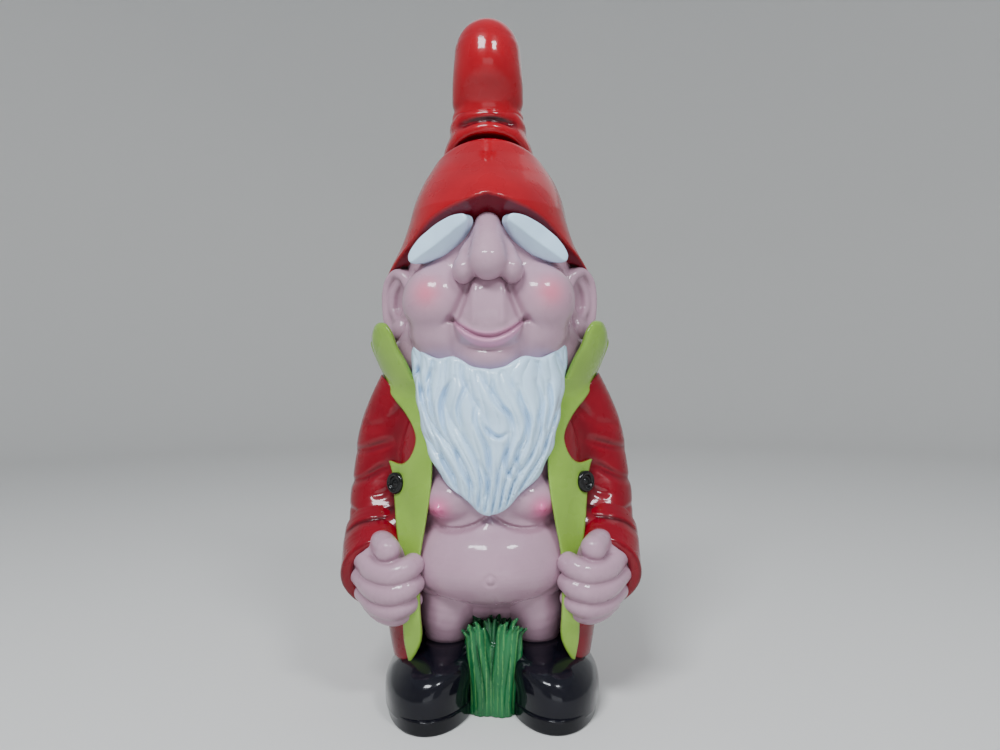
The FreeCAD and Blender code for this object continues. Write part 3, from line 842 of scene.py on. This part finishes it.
BEARD_HEIGHTS = [112, 122, 132, 145, 158, 172, 186, 208]
BEARD_HALF_WIDTHS = [17, 23, 28, 33, 37, 40, 42.5, 44]
LOCKS = ((8, 3.0, 0.3, 0.7), (17, 0.9, 1.7, 1.3))       # count, relief in mm, phase, drift
BEARD_GROOVES = [
    [(-39.5, 192), (-38.5, 181), (-36, 170)],
    [(-32.5, 191), (-33, 182), (-32, 172), (-29.5, 161)],
    [(-18.5, 187), (-23.5, 180), (-26, 172), (-24.5, 161), (-21, 152)],
    [(-11, 184), (-15.5, 175), (-16.5, 168), (-14.5, 160)],
    [(-6, 174), (-7.5, 165), (-4.5, 156), (-1, 147), (-0.5, 135)],
    [(-4.5, 164), (-0.5, 158), (5, 155), (10, 157)],
    [(2.5, 187), (1.5, 179), (5, 172), (10.5, 167), (12.5, 160)],
    [(15.5, 182), (17, 173), (21, 163), (18.5, 154), (14, 146)],
    [(26, 185), (28.5, 173), (26.5, 162), (24, 150)],
    [(33, 184), (34, 171), (30.5, 157)],
    [(-29, 153), (-25, 141), (-19, 131.5)],
    [(-18.5, 150), (-15, 138), (-9, 127)],
    [(-5.5, 142), (-1, 131), (-3, 121)],
    [(9.5, 150), (8.5, 140), (12, 131)],
    [(19, 155), (14.5, 144), (16, 134)]]


def beard_field(p):
    """A pointed beard: broad locks that sway on their way to the tip, with finer hairs on them."""
    x, y, z = p
    across = x / np.interp(z, BEARD_HEIGHTS, BEARD_HALF_WIDTHS)
    down = np.clip((205 - z) / 93, 0, 1.05)
    sway = 0.15 * np.sin(5.4 * down + 0.9 + 1.8 * across) + 0.05 * np.sin(12 * down - 4 * across)
    lane = across + sway * fade(down, -0.05, 0.2)
    relief = np.zeros_like(x)
    for count, height, shift, drift in LOCKS:
        phase = count * lane + shift + drift * np.sin(6 * down + count + 2 * lane)
        relief = relief - height * (1 - (np.cos(0.5 * math.pi * phase) ** 2 + 0.004) ** 0.35)
    for line in BEARD_GROOVES:
        relief = relief - crease(x, z, line, 1.3, 3.6) + crease(x, z, line, 4.0, 1.5)
    front = stack(p, BEARD_FRONT)
    edge = cut_line(np.abs(x), z, outline(BEARD, corners=(10, 18))) - 1.2
    relief = relief * fade(edge, 0.5, -3.5)
    wave = 0.5 * np.sin(0.4 * z + 2.1 * np.sign(x)) * fade(edge, -4, 0) * fade(z, 200, 185)
    body = smooth_max(front - relief - 1.0, edge + wave, 4.0)
    under = np.minimum(face_body(p), torso_body(p))
    return smooth_max(smooth_max(body, y + 17, 2.0), -(under + 2.5), 1.0)


# ==== coat pieces ====
def coat_shell_field(p):
    """The coat's wall, open in front, hollow inside."""
    x, y, z = p
    outside = coat_body(p)
    wall = smooth_max(outside, -(outside + 5.0), 1.0)
    opening = cut_line(np.abs(x), z, outline(OPENING, corners=(1, 12, 13)))
    opening = smooth_max(opening, y - 2, 1.0)
    wall = smooth_max(wall, -opening, 1.5)
    return smooth_max(wall, 27 + 0.6 * np.cos(x / 9) - z, 1.5)


SIDE_SEAM_Y = 6                             # where the coat's back and front castings meet
BACK_CREASES = [
    ([(0, 26), (0.6, 45), (0, 66), (0, 78)], 1.0, 2.4),
    ([(-34, 122), (-15, 116), (8, 118), (30, 124)], 3.2, 1.5),
    ([(-28, 106), (-8, 103), (16, 104), (38, 110)], 2.8, 1.2),
    ([(-40, 140), (-22, 132), (-8, 131)], 3.4, 1.1),
    ([(40, 146), (24, 136), (12, 134)], 3.4, 1.1),
    ([(0.3, 90), (0, 130), (0.2, 186)], 0.9, 0.8),
]


def coat_back_field(p):
    """The coat's back, with a vent, a seam up its middle and soft folds across it."""
    x, y, z = p
    folds = creases(x, z, BACK_CREASES) * fade(y, 18, 30)
    return smooth_max(coat_shell_field(p) + folds, SIDE_SEAM_Y - y, 0.8)


def coat_front_field(p):
    """The left front of the coat."""
    return smooth_max(smooth_max(coat_shell_field(p), p[1] - SIDE_SEAM_Y, 0.8), -p[0], 0.5)


def lapel_field(p):
    """The facing: a thin plate that lies on the coat's front and on the arm, with a notch."""
    x, y, z = p
    top = facing(p)
    plate = smooth_max(top, -(top + 4.5), 0.8)
    plate = smooth_max(plate, cut_line(x, z, outline(LAPEL, corners=(0, 10, 11, 19))), 1.4)
    return smooth_max(smooth_max(plate, y + 1, 1.0), z - 186, 0.5)


def lapel_red_mask(verts):
    """The cut edges of the plate are red."""
    return fade(facing(verts), -1.4, -2.2)


def collar_field(p):
    """A band behind the neck that ends in a tall lobe on each side."""
    x, y, z = mirror_x(p)
    top = facing(np.stack([x, y, z]))
    wall = smooth_max(top, -(top + 6.5), 3.0)
    lobe = np.where(y < 3, cut_line(x, z, outline(LOBE, corners=(0, 11))), -1e3)
    back = z - (200 + 11 * fade(y, 24, 2) + 10 * fade(y, 4, -6))
    band = smooth_max(wall, smooth_max(lobe, back, 3.0), 4.5)
    return smooth_max(band, 184 - 14 * fade(y, 0, 8) - z, 0.8)


def collar_red_mask(verts):
    """Behind the shoulders the outside of the collar is red; its face and lobes are lime."""
    return fade(facing(verts), -2.2, -0.9) * fade(verts[1], 14, 18)


def sleeve_field(p):
    """The arm, with the web of cloth that joins it to the coat."""
    arm = smooth_max(clothed(p), sleeve_body(p) - 10, 2.0)
    arm = smooth_max(arm, -(collar_body(p) - 0.2), 1.5)
    return smooth_max(arm, -(coat_body(p) + 2), 1.0)


CUFF = [(67, -3, 101, 19.0), (66, -12, 92, 20.6), (63.8, -22, 82, 22.0), (62, -31, 75.5, 22.8),
        (61.6, -38, 73.5, 22.4)]
MOUTH = [(65.5, -16, 90, 11), (63.5, -24, 83, 13.5), (62, -31, 78.5, 15.4), (60.5, -44, 75, 16.8)]
RIM = (62.0, -33.0, 79.0)
REACH = (-0.14, -0.93, -0.34)               # the way that the cuff's mouth faces


def cuff_field(p):
    """A turned-up cuff, open towards the fist, with a rounded rim."""
    cuff = tube(p, CUFF)
    along = sum((p[i] - RIM[i]) * REACH[i] for i in range(3))
    cuff = smooth_max(cuff, -tube(p, MOUTH), 1.6)
    cuff = smooth_max(cuff, along, 3.2)
    cuff = smooth_max(cuff, 51.5 - p[0], 3.0)
    cuff = cuff + crease(p[0], p[2], [(50, 104), (62, 106), (76, 103), (86, 94)], 1.4, 1.2)
    cuff = cuff + 0.35 * ripple(p, 12, 31)
    return smooth_max(cuff, -along - 30, 2.0)


FINGERS = [
    [(73, -31, 86, 6.2), (64, -42, 81.6, 7.0), (54, -48, 80.4, 7.2), (47, -47.5, 82.4, 7.0),
     (43, -42, 84, 6.4)],
    [(73.5, -32, 75.5, 5.8), (64, -43, 71.2, 6.5), (54, -48.6, 70.2, 6.7), (46, -48, 72.2, 6.5),
     (42.4, -42, 73.8, 6.0)],
    [(72, -32, 66, 5.2), (63, -41.5, 61.8, 5.8), (53.5, -46.8, 60.8, 6.0), (46.5, -46, 62.8, 5.7),
     (43.2, -41, 64.4, 5.3)],
    [(68.5, -31, 59, 4.4), (61.5, -38.5, 56.4, 4.8), (54, -42.8, 55.4, 5.0), (48, -42.5, 57, 4.8),
     (45.4, -38, 58.4, 4.4)]]
THUMB = [(64, -27, 93, 6.8), (60, -37, 94.5, 7.2), (56, -45.5, 93, 7.2)]


def hand_field(p):
    """A fist round the coat's edge."""
    palm = ellipsoid(p, (61.2, -29, 78.5), (16.4, 13.5, 20.5), (12, 0, 0))
    fist = join(1.0, palm, *[tube(p, finger) for finger in FINGERS])
    fist = join(1.6, fist, tube(p, THUMB))
    return fist + 0.12 * ripple(p, 10, 41)


def button_field(p):
    """A round button with a raised rim and a small boss in its middle."""
    axis = np.array([0.62, -0.78, 0.05])
    axis /= np.linalg.norm(axis)
    side = np.cross(axis, [0, 0, 1])
    side /= np.linalg.norm(side)
    up = np.cross(side, axis)
    q = from_middle(p, "button_left")
    u, v, w = (sum(q[i] * float(way[i]) for i in range(3)) for way in (side, up, axis))
    radius = np.hypot(u, v)
    disc = smooth_max(radius - 6.3, np.abs(w + 1.0) - 2.0, 1.4)
    rim = np.hypot(radius - 4.9, w - 1.1) - 1.4
    boss = np.hypot(radius, (w - 0.4) * 1.3) - 2.0
    return join(0.5, disc, rim, boss)


# ==== legs, boots and grass ====
BOOT = [(4, 26.2, 48.8, -15, 35.3), (14, 26.4, 48.8, -15, 35.2), (20, 26, 47.6, -15, 34.0),
        (26, 24, 44.5, -14.5, 31.5), (31, 20.5, 38, -12.5, 28.6), (35, 17, 28, -9, 26.8)]
ANKLE_CREASES = [([(-22, 33), (-14, 30), (-4, 29)], 2.4, 0.8), ([(-28, 28), (-18, 25), (-6, 24.5)], 2.6, 0.7)]


def boot_body(p):
    """The outside of the boot: level ovals whose middles also shift in X."""
    table = spline(BOOT, 6)
    shift = np.interp(p[2], table[:, 0], table[:, 4]).astype(np.float32)
    q = np.stack([p[0] - shift, p[1], p[2]])
    return stack(q, [row[:4] for row in BOOT], ends=1.5)


def boot_field(p):
    """A round-toed boot with a soft heel seam and a rolled top edge."""
    x, y, z = p
    boot = boot_body(p)
    top = np.hypot(np.hypot(x - 26.6, (y + 6.5) / 1.25) - 15.2, z - 33.2) - 2.0
    boot = join(2.0, boot, top)
    boot = boot + 0.9 * hill(y, 12, 1.1) * fade(z, 8, 12) * fade(np.abs(x - 34), 12, 16)
    return boot + creases(y, z, ANKLE_CREASES) + 0.2 * ripple(p, 14, 51)


def sole_field(p):
    """A welted sole with a low heel and a grooved tread."""
    x, y, z = p
    low, high = (np.array(corner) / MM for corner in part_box("sole_left"))
    cx, cy = (low[:2] + high[:2]) / 2
    rx, ry = (high[:2] - low[:2]) / 2
    plan = (np.hypot((x - cx) / rx, (y - cy) / ry) - 1) * rx
    slab = smooth_max(plan - 0.6, np.abs(z - 4) - 4, 1.0)
    waist = smooth_max(np.abs(y - 12) - 3.0, z - 1.2, 0.8)
    tread = smooth_max(np.abs((y + 200) % 7 - 3.5) - 1.0, z - 1.0, 0.5)
    tread = smooth_max(tread, plan + 4, 0.5)
    return smooth_max(slab, -np.minimum(waist, tread), 0.6)


def leg_field(p):
    """A short thick leg with a roll of skin above the boot."""
    leg = tube(p, [(23, -19, 64, 18.5), (25.2, -19, 53, 16.6), (26.2, -14, 42, 13.6), (26.6, -8, 30, 12)])
    leg = leg - 0.7 * hill(p[2], 37, 3)
    leg = smooth_max(leg, p[2] - 72, 1.0)
    return smooth_max(leg, -(torso_body(p) + 2.5), 1.0) + 0.1 * ripple(p, 12, 61)


# Each sheaf: first and last foot in X, first and last tip in X, how many leaves, their Y and height.
SHEAVES = [(-10, 3.5, -15, -3.5, 9, -38, 47), (0, 11, 5, 17.5, 8, -39.5, 48), (-8, 7, -9, 9, 8, -33, 47),
           (-11, 10, -14, 15, 9, -26, 49)]


def make_blades():
    """Leaves as rows of (x, y, z, half width), in four sheaves that spread as they rise."""
    random = np.random.RandomState(7)
    blades = []
    for foot_from, foot_to, tip_from, tip_to, count, layer, height in SHEAVES:
        for i in range(count):
            share = i / (count - 1)
            foot_x = foot_from + share * (foot_to - foot_from) + random.uniform(-0.8, 0.8)
            tip_x = tip_from + share * (tip_to - tip_from) + random.uniform(-0.8, 0.8)
            tip_z = height + 3.5 * math.sin(math.pi * share) + random.uniform(-3.5, 2)
            front = layer - 2.5 * math.sin(math.pi * share) + random.uniform(-0.8, 0.8)
            bend = random.uniform(-1.2, 1.2)
            blades.append([(foot_x, front, -2, 2.2), (foot_x + bend, front - 1.5, 0.3 * tip_z, 2.4),
                           (0.45 * foot_x + 0.55 * tip_x + bend, front, 0.68 * tip_z, 2.2),
                           (0.9 * tip_x, front + 1, 0.92 * tip_z, 1.7), (1.1 * tip_x, front, tip_z, 0.9)])
    return blades


BLADES = make_blades()


def grass_field(p):
    """A tuft of leaves on a solid core, packed between the boots."""
    x, y, z = p
    clump = smooth_max((np.hypot(x / 10.5, (y + 25) / 15) - 1) * 10.5, z - 40, 5.0)
    for rows in BLADES:
        clump = join(0.6, clump, tube(p, rows, per_span=3))
    clump = smooth_max(clump, -(torso_body(p) + 1.0), 0.8)
    clump = smooth_max(clump, -(boot_body(mirror_x(p)) + 1.5), 0.8)
    return smooth_max(clump, -z, 0.6)


def leaf_streaks(verts):
    """Light brush strokes along the leaves."""
    x, z = verts[0], verts[2]
    along = (x - 0.8) / (1 + 0.35 * (z / 50) ** 2)
    wave = np.sin(3.1 * along) + np.sin(5.3 * along + 1.3)
    return 0.65 * fade(wave, 0.6, 1.9) * fade(z, -2, 10)


# ==== the whole figure ====
def make_pieces():
    """Paints, castings and the steel of the rods."""
    skin = enamel("skin_enamel", (0.44, 0.272, 0.35), (0.20, 0.09, 0.13),
                  [("blush", (0.70, 0.15, 0.24)), ("rose", (0.68, 0.13, 0.30)), ("lip", (0.58, 0.27, 0.42))],
                  crease_shade=0.4, drift=0.05, brush=0.2)
    white = enamel("white_enamel", (0.57, 0.79, 1.0), (0.36, 0.50, 0.70), crease_shade=0.16, drift=0.03,
                   edge_highlight=0.2, coat=1.0)
    # The hat's shade accent is painted shade: a darker red on the brim's underside.
    hat_red = enamel("hat_enamel", (0.34, 0.002, 0.010), (0.040, 0.001, 0.005),
                     [("shade", (0.13, 0.001, 0.008))], drift=0.08)
    coat_red = enamel("coat_enamel", (0.21, 0.001, 0.010), (0.016, 0.0, 0.003), drift=0.1)
    lime = enamel("lime_enamel", (0.24, 0.42, 0.055), (0.11, 0.21, 0.025), [("red", (0.25, 0.003, 0.01))],
                  crease_shade=0.6, drift=0.08)
    black = enamel("boot_enamel", (0.005, 0.005, 0.009), (0.002, 0.002, 0.004), edge_highlight=0.1,
                   roughness=(0.16, 0.26), coat=0.6)
    button_black = enamel("button_enamel", (0.006, 0.006, 0.006), (0.002, 0.002, 0.002), edge_highlight=0.1,
                          roughness=(0.14, 0.22))
    green = enamel("grass_enamel", (0.011, 0.13, 0.04), (0.002, 0.03, 0.012),
                   [("streak", (0.12, 0.34, 0.09))], drift=0.25, crease_shade=0.7)

    cast("hat_crown_cast", hat_crown_field, hat_red, "hat_crown", step=1.1, margin=9,
         masks={"shade": brim_shade_mask})
    cast("hat_fold_cast", hat_fold_field, hat_red, "hat_fold", step=0.7, margin=22)
    cast("hat_tip_cast", hat_tip_field, hat_red, "hat_tip", step=0.8)
    cast("head_cast", head_field, skin, "head_shell", step=0.9,
         masks={"lip": lip_mask, "blush": blush_mask})
    cast("nose_cast", nose_field, skin, "nose", step=0.7)
    cast("eyebrow_cast", brow_field, white, "eyebrow", step=0.6, paired=True)
    cast("ear_cast", ear_field, skin, "ear", step=0.6, paired=True)
    cast("beard_cast", beard_field, white, "beard", step=0.75)
    cast("torso_cast", torso_field, skin, "torso_shell", step=1.1, margin=14,
         masks={"rose": rose_mask})
    cast("coat_back_cast", coat_back_field, coat_red, "coat_back", step=1.2)
    cast("coat_front_cast", coat_front_field, coat_red, "coat_front", step=1.0, margin=8,
         paired=True)
    cast("lining_cast", lapel_field, lime, "lining", step=0.8, margin=12, paired=True,
         masks={"red": lapel_red_mask})
    cast("collar_cast", collar_field, lime, "collar", step=1.0,
         masks={"red": collar_red_mask})
    cast("sleeve_cast", sleeve_field, coat_red, "sleeve", step=0.9, paired=True)
    cast("cuff_cast", cuff_field, coat_red, "cuff", step=0.8, margin=12, paired=True)
    cast("hand_cast", hand_field, skin, "hand", step=0.75, paired=True)
    cast("button_cast", button_field, button_black, "button", step=0.35, paired=True)
    cast("leg_cast", leg_field, skin, "leg", step=1.0, margin=26, paired=True)
    cast("boot_cast", boot_field, black, "boot", step=0.9, paired=True)
    cast("sole_cast", sole_field, black, "sole", step=0.8, margin=2, paired=True)
    cast("grass_cast", grass_field, green, "grass_tuft", step=0.6, margin=12,
         masks={"streak": leaf_streaks})
    steel = brushed_steel("rod_steel")
    for side in ("left", "right"):
        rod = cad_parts["leg_rod_" + side]
        rod.data.materials.clear()
        rod.data.materials.append(steel)


make_camera()
make_studio()
make_pieces()
[[list(corner) for corner in box] for box in (cad_box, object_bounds())]
